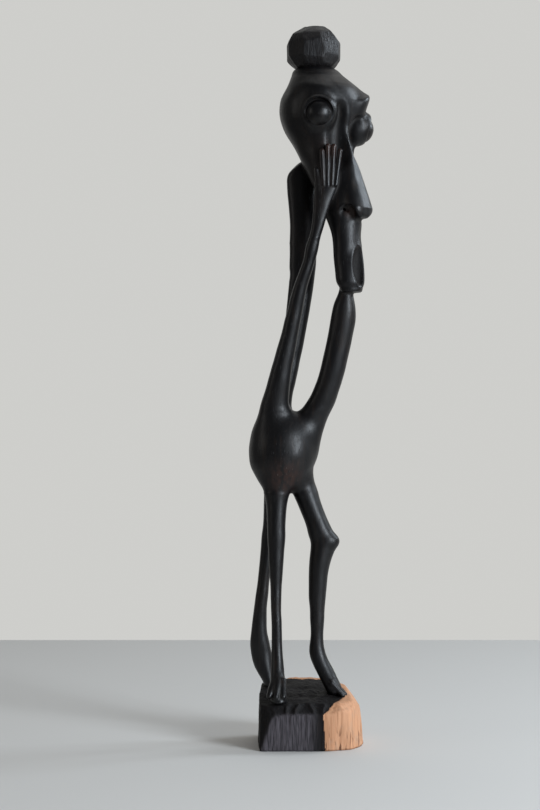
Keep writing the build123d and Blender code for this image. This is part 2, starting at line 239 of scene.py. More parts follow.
def rooted(ovals, depth, hold, at_bottom):
    """A limb's ovals carried on into the body. They keep their size for a while, and then close
    like the end of an egg: times the root of 1 less the square of the share of the way."""
    heights, cu, cv, hu, hv = ovals
    end, way = (0, -1) if at_bottom else (-1, 1)
    steps = np.arange(LEVEL_STEP, depth, LEVEL_STEP)
    closing = np.sqrt(1 - np.clip((steps - hold) / (depth - hold), 0, 1) ** 2)
    added = [heights[end] + way * steps]
    for column in (cu, cv):
        slope = (column[end] - column[end - way * SLOPE_LEVELS]) / SLOPE_LEVELS
        added.append(column[end] + slope * ROOT_FADE * (1 - np.exp(-steps / ROOT_FADE)))
    added += [column[end] * closing for column in (hu, hv)]
    if at_bottom:
        return [np.append(new[::-1], old) for new, old in zip(added, ovals)]
    return [np.append(old, new) for new, old in zip(added, ovals)]


# %% The levels and the limbs
def node_top(name):
    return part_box(name)[1].z / MM


ankle_z, crotch_z, fork_z = node_top("right_foot"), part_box("belly")[0].z / MM, node_top("belly")
jaw_z, wrist_z, nose_z, crown_z = (node_top(n) for n in ("trunk", "right_arm", "jaw", "head"))
print("levels:", [round(v, 1) for v in (ankle_z, crotch_z, fork_z, jaw_z, wrist_z, nose_z, crown_z)])

END = 0.6  # the cuts stay this far inside a node's own ends
block_top = node_top("base_sapwood")
LEG_ROOT, ARM_ROOT = (18.0, 2.0), (34.0, 12.0)  # how far a limb runs on, and keeps its size
FOOT_SINKS, REAR_ENDS = 3, 8  # below the block's top, and below the crotch
right_leg, left_leg = (
    oval_limb(
        rooted(level_ovals([side + "_foot", side + "_leg"], low, crotch_z - END), *LEG_ROOT, False)
    )
    for side, low in (("right", block_top - FOOT_SINKS), ("left", block_top + END))
)
rear_leg = oval_limb(level_ovals(["rear_foot", "rear_leg"], block_top + END, crotch_z - REAR_ENDS))
trunk, right_arm, left_arm = (
    oval_limb(rooted(level_ovals([name], fork_z + END, top - END), *ARM_ROOT, True))
    for name, top in (("trunk", jaw_z), ("right_arm", wrist_z), ("left_arm", wrist_z))
)
jaw = oval_limb(level_ovals(["jaw"], jaw_z + END, nose_z - END, TURNED), TURNED)
print("limbs measured")

# %% [markdown]
# ## Blending
# A carver never leaves a sharp line where an arm grows out of the belly: the knife rounds the
# hollow. Two distances are joined in the same way, by taking the smaller one and digging a little
# deeper where they are nearly equal. How far the rounding reaches is a length, and it may change
# with the height, so that limbs melt together at their roots and stay apart further out.

# %% Joining and cutting distances
def join(a, b, reach):
    """The smaller distance, lowered by a quarter of reach times the square of how near the two
    are to equal: a rounded hollow instead of a crease."""
    near = np.clip(1 - np.abs(a - b) / reach, 0, None)
    return np.minimum(a, b) - near * near * reach / 4


def cut(a, b, reach):
    """What is left of a after b is cut away, with a rounded rim."""
    return -join(-a, b, reach)


def ease(value, start, stop):
    """0 before start, 1 after stop, and a smooth S between them."""
    t = np.clip((value - start) / (stop - start), 0, 1)
    return t * t * (3 - 2 * t)


def ball(x, y, z, centre, radii):
    """Distance to an ellipsoid: the level oval's formula, with a third direction."""
    u, v, w = ((p - c) / r for p, c, r in zip((x, y, z), centre, radii))
    g = np.sqrt(u * u + v * v + w * w) + TINY
    ru, rv, rw = radii
    return g * (g - 1) / np.sqrt((u / ru) ** 2 + (v / rv) ** 2 + (w / rw) ** 2 + TINY_SQUARE)


def rod(x, y, z, start, stop, start_radius, stop_radius):
    """Distance to a round rod: to the nearest point of its middle line, less the radius there."""
    start, stop = np.array(start, float), np.array(stop, float)
    line = stop - start
    px, py, pz = x - start[0], y - start[1], z - start[2]
    t = np.clip((px * line[0] + py * line[1] + pz * line[2]) / (line @ line), 0, 1)
    away = np.sqrt((px - t * line[0]) ** 2 + (py - t * line[1]) ** 2 + (pz - t * line[2]) ** 2)
    return away - (start_radius + (stop_radius - start_radius) * t)


# %% [markdown]
# ## The head
# The head is turned to the figure's left, so its parts are placed in a frame of their own: u
# towards its left ear, v the way it looks, and z up. The skull is another stack of level ovals.
# Two brow masses sit on it, a long wedge of a nose runs down from between them, and each eye
# looks out of a hollow of its own.

# %% The skull's ovals
HEAD_X, HEAD_Y = 8.4, 0.0
# share of the way from the nose's underside to the crown, how far forward, half sizes
SKULL_OVALS = [
    (0.0, 14.1, 10.0, 9.8),
    (0.1, 11.6, 11.6, 11.4),
    (0.2, 8.6, 12.8, 12.8),
    (0.3, 5.2, 14.0, 14.2),
    (0.4, 2.0, 15.8, 15.7),
    (0.5, -1.2, 17.7, 17.4),
    (0.6, -3.6, 21.2, 20.6),
    (0.7, -3.9, 23.7, 23.3),
    (0.8, -3.2, 23.7, 23.6),
    (0.88, -2.6, 21.2, 20.8),
    (0.94, -4.0, 18.0, 17.4),
    (1.0, -6.4, 14.4, 13.8),
]


def to_head(x, y):
    """Level place in the head's own frame: how far to its left, how far forward."""
    dx, dy = x - HEAD_X, y - HEAD_Y
    return dx * TO_LEFT[0] + dy * TO_LEFT[1], dx * TO_FRONT[0] + dy * TO_FRONT[1]


def from_head(u, v, z):
    """The other way about: a place in millimetres."""
    x, y = np.array([HEAD_X, HEAD_Y]) + u * TO_LEFT + v * TO_FRONT
    return (x, y, z)


def smooth_rows(rows, count=40):
    """More rows along the smooth curve that passes through the given ones, with each row's
    direction set by its two neighbours."""
    rows = np.array(rows, float)
    shares = np.linspace(rows[0, 0], rows[-1, 0], count)
    spots = np.interp(shares, rows[:, 0], np.arange(len(rows)))
    k = np.clip(spots.astype(int), 0, len(rows) - 2)
    t = (spots - k)[:, None]
    before, here = rows[np.maximum(k - 1, 0)], rows[k]
    after, later = rows[k + 1], rows[np.minimum(k + 2, len(rows) - 1)]
    cubic = 3 * (here - after) + later - before
    square = 2 * before - 5 * here + 4 * after - later
    result = here + 0.5 * t * (after - before + t * (square + t * cubic))
    result[:, 0] = shares
    return result


def rows_to_limb(rows, low, high):
    """A limb from a table of shares, centres and half sizes."""
    rows = smooth_rows(rows)
    return oval_limb((low + (high - low) * rows[:, 0], *rows[:, 1:].T))


skull = rows_to_limb([(s, 0, v, hu, hv) for s, v, hu, hv in SKULL_OVALS], nose_z, crown_z)


# %% Eyes and the frame round each
def middle(name):
    return np.array([(a + b) / 2 / MM for a, b in zip(*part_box(name))])


EYES = {-1: middle("right_eye"), 1: middle("left_eye")}  # side: centre of the eyeball
EYE_RADIUS = (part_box("right_eye")[1].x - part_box("right_eye")[0].x) / 2 / MM
EYE_OUT = (0.8, 0.6)  # an eye looks this much sideways and this much forward
print("eyeball radius", round(EYE_RADIUS, 2))


def eye_frame(u, v, z, side):
    """Place measured from an eyeball: out along the way it looks, across, and up."""
    eye = EYES[side]
    eye_u, eye_v = to_head(eye[0], eye[1])
    out_u, out_v = EYE_OUT[0] * side, EYE_OUT[1]
    du, dv = u - eye_u, v - eye_v
    return du * out_u + dv * out_v, (dv * out_u - du * out_v) * side, z - eye[2]


# %% The nose
NOSE_SHARE = np.array([-0.05, 0.0, 0.06, 0.14, 0.25, 0.37, 0.5, 0.62, 0.72, 0.8])
NOSE_RIDGE = np.array([29.4, 30.4, 31.0, 28.8, 25.4, 22.1, 18.9, 14.2, 12.6, 12.2])
NOSE_SPREAD = np.radians([54.0, 53.0, 51.0, 48.0, 45.0, 42.0, 40.0, 41.0, 45.0, 50.0])
NOSE_HALF = np.array([10.0, 10.2, 10.0, 8.6, 7.4, 6.4, 5.4, 5.0, 5.0, 5.0])
# the ridge is a flat strip, half this wide, that turns into the slanted faces over a rounding
NOSE_FLAT = np.array([2.0, 2.0, 2.0, 2.0, 1.8, 1.6, 1.4, 1.0, 0.8, 0.8])
NOSE_ROUND = np.array([8.0, 8.0, 8.0, 7.5, 6.5, 5.0, 3.2, 2.0, 1.6, 1.6])
NOSE_BACK = 22.0  # how far behind its ridge the wedge ends
NOSE_TOP = 66.0  # how far above its underside the nose runs out between the brows
NOSE_HANGS, WING_FROM, WING_CLIMB = 0.8, 3.0, 0.5  # the underside climbs beyond so far across
SIDE_BEND, BACK_BEND, UNDER_BEND, TOP_BEND = 4.0, 2.0, 2.4, 8.0  # how round the wedge's rims are


def nose(u, v, z):
    """Two slanted faces that meet in a narrow, rounded ridge. The distance to both at once is the
    offset across, rounded near 0, times the cosine of their slant, plus the offset forward times
    its sine. Flat sides, a back, an underside that climbs outwards and a top end it."""
    share = (z - nose_z) / (crown_z - nose_z)
    tables = (NOSE_RIDGE, NOSE_SPREAD, NOSE_HALF, NOSE_FLAT, NOSE_ROUND)
    ridge, slant, half, flat, bend = (np.interp(share, NOSE_SHARE, table) for table in tables)
    across = np.sqrt(np.clip(np.abs(u) - flat, 0, None) ** 2 + bend**2) - bend
    wedge = across * np.cos(slant) + (v - ridge) * np.sin(slant)
    wedge = cut(wedge, half - np.abs(u), SIDE_BEND)
    wedge = cut(wedge, v - ridge + NOSE_BACK, BACK_BEND)
    climb = WING_CLIMB * np.clip(np.abs(u) - WING_FROM, 0, None)
    under = (z - nose_z + NOSE_HANGS - climb) * np.cos(np.arctan(WING_CLIMB))
    wedge = cut(wedge, under, UNDER_BEND)
    return cut(wedge, nose_z + NOSE_TOP - z, TOP_BEND)


# %% Brows, eye hollows, lids and nostrils
BROW_Z = crown_z - 20.0
UNDERCUT = 0.35  # how far the brow draws in for each millimetre below its crest
BROW_EDGE = {-1: 5.0, 1: 1.6}  # how softly each crest is rounded
FOREHEAD = np.radians(39.9)  # how steeply the forehead falls to the brows
CREST_Z = crown_z - 13.5
CREST_TILT, CREST_END = 0.40, 20.0  # the crest drops towards the bridge of the nose
BROW_REACH, BROW_OUT = 16.1, 11.0  # how far a brow reaches, and how far across its middle stands
BROWS = {-1: (3.6, 12.0, 14.6), 1: (5.0, 13.0, 18.0)}  # middle line's place forward, half sizes
BROW_TALL = 90.0  # so tall that its sides are nearly upright where the brow is kept
# the parts round an eye: places from the eyeball (out, across, up) and half sizes
HOLLOW_OUT, HOLLOW_UP = 9.6, {-1: 0.6, 1: -3.0}
HOLLOWS = {-1: (8.4, 12.0, 11.6), 1: (8.4, 12.0, 10.5)}
VALLEY, VALLEY_RADII = (10.4, 0.0, -12.0), (8.0, 9.0, 16.0)
SEAT, SEAT_MORE_OUT, SEAT_MORE = (-3.0, 0.0, 0.0), 0.6, 2.0
LIDS, LID, LID_DROP, LID_OPENING = (-0.5, 0.0, 1.3), 1.8, 0.5, EYE_RADIUS + 0.1
BESIDE_BRIDGE, BRIDGE_SCOOP = (8.0, 17.6, -12.5), (6.0, 7.2, 18.0)
NOSTRIL, NOSTRIL_RADII = (8.8, 23.4, 1.6), (4.6, 4.8, 5.2)  # across, forward, above the underside
# how far the rounding of each seam or rim on the head reaches
BROW_BEND, NOSE_BEND, VALLEY_BEND, HOLLOW_BEND, SCOOP_BEND = 4.0, 3.5, 5.0, 2.6, 3.6
OPENING_BEND, SEAT_BEND, LID_BEND, NOSTRIL_BEND = 1.4, 2.5, 1.8, 1.8


def brows(u, v, z):
    """The skull with its two brow masses. Each is a tall egg, cut from above by a forehead that
    slopes down to its crest, and from below by an undercut that draws in under it."""
    solid = skull(u, v, z)
    for side, eye in EYES.items():
        back, wide, deep = BROWS[side]
        brow = ball(u, v, z, (side * BROW_OUT, back, BROW_Z), (wide, deep, BROW_TALL))
        away = np.sqrt(((side * u - BROW_OUT) / wide) ** 2 + ((v - back) / deep) ** 2) * BROW_REACH
        level = z - CREST_TILT * (side * u - CREST_END)
        forehead = (BROW_REACH - away) * np.sin(FOREHEAD) - (level - CREST_Z) * np.cos(FOREHEAD)
        below = ((BROW_REACH - away) - UNDERCUT * (CREST_Z - level)) / np.hypot(1.0, UNDERCUT)
        brow = cut(cut(brow, forehead, BROW_EDGE[side]), below, BROW_EDGE[side])
        solid = join(solid, brow, BROW_BEND)
    return solid


def head(x, y, z):
    """Skull, brows and nose joined. An eye hollow that runs on as a valley below it is cut for
    each eye, and a scoop beside the bridge of the nose. A seat and lids with a round opening are
    left standing in the hollow, and at last the nostrils are cut."""
    u, v = to_head(x, y)
    solid = join(brows(u, v, z), nose(u, v, z), NOSE_BEND)
    for side, eye in EYES.items():
        out, across, up = eye_frame(u, v, z, side)
        hollow = ball(out, across, up, (HOLLOW_OUT, 0.0, HOLLOW_UP[side]), HOLLOWS[side])
        valley = ball(out, across, up, VALLEY, VALLEY_RADII)
        beside, front, drop = BESIDE_BRIDGE
        scoop = ball(u, v, z, (side * beside, front, eye[2] + drop), BRIDGE_SCOOP)
        solid = cut(cut(solid, join(hollow, valley, VALLEY_BEND), HOLLOW_BEND), scoop, SCOOP_BEND)
        seat_radii = (EYE_RADIUS + SEAT_MORE_OUT,) + (EYE_RADIUS + SEAT_MORE,) * 2
        seat = ball(out, across, up, SEAT, seat_radii)
        lids = ball(out, across, up, LIDS, (EYE_RADIUS + LID,) * 3)
        lids = cut(lids, np.sqrt(across**2 + (up + LID_DROP) ** 2) - LID_OPENING, OPENING_BEND)
        solid = join(join(solid, seat, SEAT_BEND), lids, LID_BEND)
    for side in EYES:
        beside, front, rise = NOSTRIL
        nostril = ball(u, v, z, (side * beside, front, nose_z + rise), NOSTRIL_RADII)
        solid = cut(solid, nostril, NOSTRIL_BEND)
    return solid


# %% The jaw and its mouth
MOUTH_MIDDLE = (0.0, 27.0, jaw_z + 13.0)
MOUTH_RADII = (5.2, 6.5, 11.6)
LIPS = (0.0, 20.0, jaw_z + 12.0)
LIPS_RADII = (6.6, 7.6, 15.0)
LIPS_BEND, MOUTH_BEND = 2.0, 1.4


def open_jaw(x, y, z):
    """The jaw with full lips, hollowed by a long scoop of a mouth. The lips hang a little lower
    than the jaw behind them."""
    u, v = to_head(x, y)
    solid = join(jaw(x, y, z), ball(u, v, z, LIPS, LIPS_RADII), LIPS_BEND)
    return cut(solid, ball(u, v, z, MOUTH_MIDDLE, MOUTH_RADII), MOUTH_BEND)


# %% [markdown]
# ## Hands
# The near hand is a flat palm with four slender ridges for fingers, spread a little, and a short
# thumb. The far hand clasps the nape. Both grow out of their wrists without a line.

# %% Palms and fingers
FINGER_RISE = 15.3  # how far the longest finger stands above the palm
palm_z = node_top("right_hand") - FINGER_RISE
FINGER_ROOTS_X, FINGER_TIPS_X = (7.0, 9.3, 11.7, 14.0), (6.1, 9.5, 12.9, 16.4)
FINGER_RISES = (11.4, 14.0, 13.8, 11.2)
FINGER_ROOT_DROP = 8.5
# each rod's place from front to back at its two ends, its radii there, and how far it melts in
FINGER_Y, FINGER_RADII, FINGER_BEND = (-20.4, -19.2), (1.25, 1.6), 0.4
GROOVE_Y, GROOVE_RADII, GROOVE_BEND, GROOVE_DOWN = (-22.0, -21.0), (0.5, 0.8), 0.6, 1
THUMB_ROOT, THUMB_TIP, THUMB_RADII, THUMB_BEND = (4.3, -19.0, -13), (3.0, -18.4, 0.5), (1.8, 1.4), 0.6
PALM_RIM = 1.0
# share of the way from the wrist to the palm's top, centre across and back, half sizes
PALM = [
    (-0.25, -1.1, -16.8, 3.8, 3.6),
    (0.0, 1.9, -18.0, 3.3, 3.3),
    (0.2, 3.8, -18.8, 3.7, 3.0),
    (0.4, 5.4, -19.2, 4.4, 2.8),
    (0.6, 7.0, -19.2, 5.5, 2.6),
    (0.8, 8.6, -19.0, 6.6, 2.2),
    (1.0, 9.8, -18.6, 6.4, 1.6),
]
FAR_PALM = [
    (-0.3, -4.9, 9.0, 7.8, 4.7),
    (0.0, -4.3, 9.0, 7.9, 4.8),
    (0.3, -3.9, 9.0, 8.0, 4.9),
    (0.65, -4.7, 9.0, 8.4, 5.0),
    (0.9, -5.5, 9.2, 8.3, 4.9),
    (1.1, -5.9, 9.4, 8.0, 4.6),
    (1.4, -5.6, 9.6, 7.6, 4.2),
]
near_palm, far_palm = (rows_to_limb(rows, wrist_z, palm_z) for rows in (PALM, FAR_PALM))
FAR_TOP, FAR_RIM = 10.0, 7.0  # how far above the near palm the far one ends, and how round
SLANT, SLANT_X, SLANT_RISE, SLANT_RIM = (0.727, 0.687), -13.1, 1.9, 3.0  # a cut over its outer edge
FAR_ROOT_X, FAR_TIP_X, FAR_FINGER_Y = -3.0, 14.0, (12.0, 12.6)
FAR_STEP, FAR_SHORTER, FAR_CLIMB = 3.6, 1.2, 3.4  # from finger to finger, and from root to tip
FAR_RADII, FAR_BEND = (2.0, 1.7), 0.7


def right_hand(x, y, z):
    """The palm, cut level at its top, with a rod for each finger and the thumb. Thin rods cut the
    grooves between the fingers down into the palm."""
    solid = cut(near_palm(x, y, z), palm_z - z, PALM_RIM)
    fingers = list(zip(FINGER_ROOTS_X, FINGER_TIPS_X, FINGER_RISES))
    for root_x, tip_x, rise in fingers:
        root = (root_x, FINGER_Y[0], palm_z - FINGER_ROOT_DROP)
        tip = (tip_x, FINGER_Y[1], palm_z + rise)
        solid = join(solid, rod(x, y, z, root, tip, *FINGER_RADII), FINGER_BEND)
    for (root_a, tip_a, rise), (root_b, tip_b, _) in zip(fingers, fingers[1:]):
        root = ((root_a + root_b) / 2, GROOVE_Y[0], palm_z - FINGER_ROOT_DROP - GROOVE_DOWN)
        tip = ((tip_a + tip_b) / 2, GROOVE_Y[1], palm_z + rise - GROOVE_DOWN)
        solid = cut(solid, rod(x, y, z, root, tip, *GROOVE_RADII), GROOVE_BEND)
    root, tip = ((tx, ty, palm_z + tz) for tx, ty, tz in (THUMB_ROOT, THUMB_TIP))
    return join(solid, rod(x, y, z, root, tip, *THUMB_RADII), THUMB_BEND)


def left_hand(x, y, z):
    """The palm on the nape, rounded off above and slanted off on its outer side, and four rods
    round the far side of the neck."""
    solid = cut(far_palm(x, y, z), palm_z + FAR_TOP - z, FAR_RIM)
    solid = cut(solid, SLANT[0] * (x - SLANT_X) - SLANT[1] * (z - palm_z - SLANT_RISE), SLANT_RIM)
    for row in range(4):
        root = (FAR_ROOT_X, FAR_FINGER_Y[0], palm_z - FAR_STEP * row)
        tip = (FAR_TIP_X - FAR_SHORTER * row, FAR_FINGER_Y[1], palm_z + FAR_CLIMB - FAR_STEP * row)
        solid = join(solid, rod(x, y, z, root, tip, *FAR_RADII), FAR_BEND)
    return solid


# %% [markdown]
# ## The whole body as one field
# All the distances are now worked out on a fine box of points, a few features at a time and each
# only between its own heights, and joined. The skin is where the joined distance is 0. Nothing
# made of separate grids could melt together like this, which is why the body is made this way.

# %% The carving bench
VOXEL = 0.5
BENCH_LOW = np.array([-44.0, -36.0, 22.0])
BENCH_HIGH = np.array([46.0, 32.0, crown_z + 4.0])
axes_mm = [np.arange(low, high, VOXEL) for low, high in zip(BENCH_LOW, BENCH_HIGH)]
FAR = 8.0
body = np.full([len(a) for a in axes_mm], FAR, np.float32)
print("bench points:", body.size)


def carve_on(feature, low_z, high_z, reach):
    """Joins a feature to the body between two heights. reach is a number or a function of z."""
    start, stop = np.searchsorted(axes_mm[2], (low_z, high_z))
    x, y, z = axes_mm[0][:, None, None], axes_mm[1][None, :, None], axes_mm[2][None, None, start:stop]
    distance = np.clip(feature(x, y, z), -FAR, FAR)
    room = reach(z) if callable(reach) else reach
    body[:, :, start:stop] = join(body[:, :, start:stop], distance, room)


def between(feature, bottom, top, under=0.1, over=0.1):
    """A feature with its ends cut level, and rounded by so much under and over."""

    def ended(x, y, z):
        return cut(cut(feature(x, y, z), z - bottom, under), top - z, over)

    return ended


# %% Legs, belly, arms and trunk
APART = 0.4  # the least rounding, where limbs pass close to each other
LEG_ROUND, HIP_ROUND, SHOULDER_ROUND, PALM_ROUND = 3.0, 6.0, 4.5, 2.6
BELLY_RADII, BELLY_MIDDLE = (19.7, 18.0, 24.5), (-16.5, 2.0, crotch_z + 23.6)
KNEE_RADII, KNEE_MIDDLE = (5.0, 4.6, 4.2), (11.4, 0.2, crotch_z - 29.0)


def belly(x, y, z):
    return ball(x, y, z, BELLY_MIDDLE, BELLY_RADII)


def knee(x, y, z):
    """A small cap on the left knee."""
    return ball(x, y, z, KNEE_MIDDLE, KNEE_RADII)


RIGHT_TOES = [
    # root, tip
    ((-21.4, -16.6, 38.0), (-24.2, -22.4, 30.6)),
    ((-18.9, -17.5, 39.0), (-20.2, -23.8, 30.2)),
    ((-16.4, -17.0, 39.0), (-16.2, -23.2, 30.4)),
]
LEFT_TOES = [
    ((12.0, -7.2, 36.0), (18.4, -8.4, 28.8)),
    ((12.6, -4.2, 36.6), (19.8, -5.2, 29.0)),
    ((13.0, -1.4, 36.4), (18.8, -1.8, 29.2)),
]
RIGHT_TOE_RADIUS, LEFT_TOE_RADIUS, TOE_TAPER, TOE_BEND = 2.1, 1.7, 0.85, 0.7
RIGHT_SOLE, LEFT_SOLE, RIGHT_RIM, LEFT_RIM = 26.5, 28.6, 2.0, 2.5
# a slanted cut under the end of the left foot: the way into the wood, and a point on it
TIPTOE_WAY, TIPTOE_AT, TIPTOE_RIM = (-0.8, 0.2, 0.57), (18.6, -6, 31.5), 4.0


def toes(solid, x, y, z, lines, radius):
    """A foot with a tapering rod for each toe."""
    for root, tip in lines:
        solid = join(solid, rod(x, y, z, root, tip, radius, radius * TOE_TAPER), TOE_BEND)
    return solid


def right_foot_and_leg(x, y, z):
    """The right leg, its foot cut off level at the sole, with three toes over its front."""
    solid = cut(right_leg(x, y, z), z - RIGHT_SOLE, RIGHT_RIM)
    return toes(solid, x, y, z, RIGHT_TOES, RIGHT_TOE_RADIUS)


def left_foot_and_leg(x, y, z):
    """The left leg stands on tiptoe: its foot is cut off level, and tapers to the toes."""
    solid = cut(left_leg(x, y, z), z - LEFT_SOLE, LEFT_RIM)
    under = sum(way * (place - at) for way, place, at in zip(TIPTOE_WAY, (x, y, z), TIPTOE_AT))
    return toes(cut(solid, under, TIPTOE_RIM), x, y, z, LEFT_TOES, LEFT_TOE_RADIUS)


def growing(most, start, stop):
    """A rounding that grows by so much from one height to another."""
    return lambda z: APART + most * ease(z, start, stop)


def shoulders_reach(z):
    return APART + SHOULDER_ROUND * (1 - ease(z, fork_z + 2, fork_z + 16))


legs_reach = growing(LEG_ROUND, crotch_z - 8, crotch_z)
hips_reach = growing(HIP_ROUND, crotch_z - 8, crotch_z + 6)
palm_reach = growing(PALM_ROUND, wrist_z + 1, wrist_z + 8)

leg_top, arm_foot = crotch_z + LEG_ROOT[0] - 1, fork_z - ARM_ROOT[0] + 1
for leg in (right_foot_and_leg, left_foot_and_leg, rear_leg):
    carve_on(between(leg, 0.0, leg_top, 0.1, 5.0), BENCH_LOW[2], leg_top + 2, legs_reach)
carve_on(knee, crotch_z - 40, crotch_z - 18, 3.0)
arms = [(right_arm, wrist_z + 0.3), (trunk, jaw_z + 2), (left_arm, wrist_z + 0.3)]
upper = body.copy()
body[...] = FAR
for limb, top in arms:
    carve_on(between(limb, arm_foot, top, 5.0), arm_foot - 2, top + 2, shoulders_reach)
body = np.minimum(body, upper)
carve_on(belly, crotch_z - 10, fork_z + 10, hips_reach)
print("limbs joined")

# %% Jaw, head and hands
carve_on(between(open_jaw, jaw_z - 2.2, nose_z + 4, 1.5, 1.5), jaw_z - 6, nose_z + 8, 1.6)
carve_on(between(head, nose_z - 5, crown_z + 2.2, 2.5, 2.5), nose_z - 8, crown_z + 4, 1.0)
carve_on(between(left_hand, wrist_z - 0.3, crown_z), wrist_z - 0.6, crown_z - 20, palm_reach)
carve_on(between(right_hand, wrist_z - 0.3, crown_z), wrist_z - 0.6, crown_z - 20, 0.5)
print("head and hands joined")

# %% [markdown]
# ## The touch of the knife
# No carved surface is a perfect formula. Very low, soft swells a few millimetres long are left by
# the scraper, and they break up the highlights. They are random heights on a coarse lattice, read
# between its points with a smooth weight.

# %% Scraper swells
SWELL_STEP, SWELL_HEIGHT, SWELL_BELL = 7.0, 0.10, 0.6  # the bell's width is a share of the step
chance = np.random.default_rng(12)


def lattice_weights(places):
    """How much each lattice point counts at each place: a bell over its nearest neighbours."""
    count = int(np.ptp(places) / SWELL_STEP) + 4
    knots = places[0] + (np.arange(count) - 1) * SWELL_STEP
    bell = np.exp(-(((places[:, None] - knots) / (SWELL_BELL * SWELL_STEP)) ** 2))
    return bell / bell.sum(axis=1, keepdims=True)


weights = [lattice_weights(a) for a in axes_mm]
swells = chance.normal(0.0, 1.0, [w.shape[1] for w in weights])
for axis, weight in enumerate(weights):
    swells = np.moveaxis(np.tensordot(weight, swells, axes=(1, axis)), 0, axis)
body += (SWELL_HEIGHT * swells / swells.std()).astype(np.float32)
print("swells up to", round(float(np.abs(swells / swells.std()).max() * SWELL_HEIGHT), 2), "mm")
del swells, upper

# %% [markdown]
# ## From field to skin
# A mesh is drawn through the points where the field is 0. Its vertex normals come from the field's
# slope, so that the light runs smoothly over the seams between the pieces.

# %% The skin
grid = openvdb.FloatGrid(FAR)
grid.gridClass = openvdb.GridClass.LEVEL_SET
grid.copyFromArray(body, ijk=(0, 0, 0), tolerance=0.0)
lattice_points, _, quads = grid.convertToPolygons(isovalue=0.0, adaptivity=0.0)
skin = lattice_points * VOXEL + BENCH_LOW
quads = quads[:, ::-1].astype(int)


def field_slope(places):
    """The field's slope at each place, read between the bench's points in all directions."""
    spot = (places - BENCH_LOW) / VOXEL
    base = np.clip(np.floor(spot).astype(int), 1, np.array(body.shape) - 3)
    t, slope = spot - base, np.zeros_like(places)
    for corner in np.ndindex(2, 2, 2):
        share = np.prod(np.where(np.array(corner) == 1, t, 1 - t), axis=1)
        at = base + np.array(corner)
        for axis, step in enumerate(np.eye(3, dtype=int)):
            rise = body[tuple((at + step).T)] - body[tuple((at - step).T)]
            slope[:, axis] += share * rise
    return slope / (np.linalg.norm(slope, axis=1, keepdims=True) + TINY_SQUARE)


skin_normals = field_slope(skin)
print("skin:", len(skin), "points,", len(quads), "faces")


# %% Which piece each face belongs to
centres = skin[quads].mean(axis=1)
FEET = {"right_foot": right_foot_and_leg, "left_foot": left_foot_and_leg, "rear_foot": rear_leg}
LEVELS = [
    # from, to, the features that meet there
    (-np.inf, ankle_z, FEET),
    (ankle_z, crotch_z - 1, {"right_leg": right_leg, "left_leg": left_leg, "rear_leg": rear_leg}),
    (crotch_z - 1, fork_z, {"belly": belly}),
    (fork_z, jaw_z, {"right_arm": right_arm, "left_arm": left_arm, "trunk": trunk}),
    (jaw_z, wrist_z, {"right_arm": right_arm, "left_arm": left_arm, "jaw": open_jaw}),
    (wrist_z, nose_z, {"right_hand": right_hand, "left_hand": left_hand, "jaw": open_jaw}),
    (nose_z, np.inf, {"right_hand": right_hand, "left_hand": left_hand, "head": head}),
]
owner = np.full(len(quads), "", dtype="U12")
for low, high, features in LEVELS:
    here = (centres[:, 2] >= low) & (centres[:, 2] < high)
    x, y, z = centres[here].T
    distances = np.array([feature(x, y, z) for feature in features.values()])
    owner[here] = np.array(list(features))[distances.argmin(axis=0)]
x, y, z = centres.T
u, v = to_head(x, y)
owner[(owner == "head") & (nose(u, v, z) < np.minimum(brows(u, v, z), 1.0))] = "nose"
print({str(name): int((owner == name).sum()) for name in np.unique(owner)})

# %% [markdown]
# ## Pieces
# The skin is split where one feature ends and the next begins, and every part gets its own name.
# The cut ends are closed with flat caps, which stay hidden inside the wood. Each point also keeps
# a number that says how ridged or hollow the skin is there, for the polish to read.

# %% Making a mesh piece
RIDGE_STEP = 1.5  # millimetres over which the bend of the skin is measured
TURN_IN = 0.6  # how deep the edge of a cut skin is carried into the wood


def turn_in(places, faces, normals):
    """Carries the open edges of a cut skin a little way into the wood, so that the flat caps over
    them can't show: a strip of new faces from each open edge to its copy further in."""
    starts, ends = faces.ravel(), np.roll(faces, -1, axis=1).ravel()
    count = len(places)
    there = np.isin(starts * count + ends, ends * count + starts)
    a, b = starts[~there], ends[~there]
    rim = np.unique(a)
    copy_of = np.zeros(count, int)
    copy_of[rim] = count + np.arange(len(rim))
    strips = np.stack([b, a, copy_of[a], copy_of[b]], axis=1)
    places = np.vstack([places, places[rim] - normals[rim] * TURN_IN])
    return places, np.vstack([faces, strips]), np.vstack([normals, normals[rim]]), rim


def mesh_piece(name, places, faces, nodes, normals=None, marks={}):
    """A named object at the origin with its place in its mesh, open edges capped, riding on the
    root body in place of the CAD nodes."""
    mesh = bpy.data.meshes.new(name)
    mesh.from_pydata((places * MM).tolist(), [], faces)
    shell = bmesh.new()
    shell.from_mesh(mesh)
    rim = [edge for edge in shell.edges if edge.is_boundary]
    if rim:
        caps = bmesh.ops.holes_fill(shell, edges=rim, sides=0)["faces"]
        bmesh.ops.triangulate(shell, faces=caps)
    still_open = sum(edge.is_boundary for edge in shell.edges)
    volume = shell.calc_volume(signed=True) / MM**3
    shell.to_mesh(mesh)
    shell.free()
    mesh.polygons.foreach_set("use_smooth", np.ones(len(mesh.polygons), bool))
    for mark, values in marks.items():
        numbers = mesh.attributes.new(mark, "FLOAT", "POINT").data
        numbers.foreach_set("value", values.astype(np.float32))
    if normals is not None:
        mesh.normals_split_custom_set_from_vertices(normals.tolist())
    piece = bpy.data.objects.new(name, mesh)
    bpy.context.scene.collection.objects.link(piece)
    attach(piece, "root")
    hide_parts(*nodes)
    print(f"{name}: {len(mesh.polygons)} faces, {volume:.0f} mm3, open edges {still_open}")
    return piece


